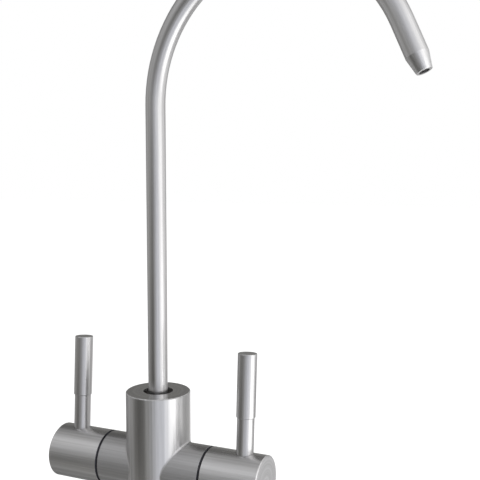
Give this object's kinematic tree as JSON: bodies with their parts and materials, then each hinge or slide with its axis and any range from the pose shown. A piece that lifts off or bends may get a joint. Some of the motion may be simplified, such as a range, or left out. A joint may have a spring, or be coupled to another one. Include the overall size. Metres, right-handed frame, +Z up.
{
  "type": "filter kitchen tap",
  "caption": "Slim kitchen tap with an upright cylindrical body, a cross barrel with a quarter-turn lever at each end, and a swivelling swan-neck spout with a tapered outlet.",
  "frame": {"origin": "centre of the base seal's underside, on the worktop", "axes": "+Z up along the body; +X along the barrel towards the right-hand lever; -Y is the front, towards the user"},
  "size_m": [0.2407, 0.0544, 0.423],
  "materials": {
    "brushed_steel": "brushed satin",
    "zinc_plated_steel": "plated, dull",
    "brass": "turned",
    "ceramic": "lapped",
    "black_rubber": "matt",
    "black_plastic": "satin",
    "white_plastic": "satin"
  },
  "bodies": {
    "body": {"tap_body": "brushed_steel", "base_ring": "brushed_steel", "base_seal": "black_rubber", "fixing_stud": "zinc_plated_steel", "fixing_gasket": "black_rubber", "fixing_plate": "zinc_plated_steel", "fixing_nut": "brass", "spout_washer": "white_plastic", "spout_screw": "zinc_plated_steel", "left_seat_seal": "black_rubber", "left_fixed_disc": "ceramic", "left_valve_housing": "brass", "left_housing_ring": "black_rubber", "left_seam_ring": "black_plastic", "left_spindle_washer": "white_plastic", "right_seat_seal": "black_rubber", "right_fixed_disc": "ceramic", "right_valve_housing": "brass", "right_housing_ring": "black_rubber", "right_seam_ring": "black_plastic", "right_spindle_washer": "white_plastic"},
    "spout": {"spout_tube": "brushed_steel", "outlet_nozzle": "brushed_steel", "spout_foot": "brass", "spout_rings": "black_rubber", "spout_glide_ring": "white_plastic"},
    "left_lever": {"left_hub": "brushed_steel", "left_hub_screw": "zinc_plated_steel", "left_spindle": "brass", "left_spindle_ring": "black_rubber", "left_spindle_circlip": "zinc_plated_steel", "left_moving_disc": "ceramic", "left_lever_stem": "brushed_steel", "left_lever_grip": "brushed_steel"},
    "right_lever": {"right_hub": "brushed_steel", "right_hub_screw": "zinc_plated_steel", "right_spindle": "brass", "right_spindle_ring": "black_rubber", "right_spindle_circlip": "zinc_plated_steel", "right_moving_disc": "ceramic", "right_lever_stem": "brushed_steel", "right_lever_grip": "brushed_steel"}
  },
  "joints": [
    {"name": "left_lever_turn", "type": "hinge", "parent": "body", "child": "left_lever", "pos_m": [0, 0, 0.05], "axis": [1, 0, 0], "range_deg": [0, 90]},
    {"name": "right_lever_turn", "type": "hinge", "parent": "body", "child": "right_lever", "pos_m": [0, 0, 0.05], "axis": [1, 0, 0], "range_deg": [0, 90]},
    {"name": "spout_swivel", "type": "hinge", "parent": "body", "child": "spout", "pos_m": [0, 0, 0.09], "axis": [0, 0, 1], "continuous": true}
  ]
}
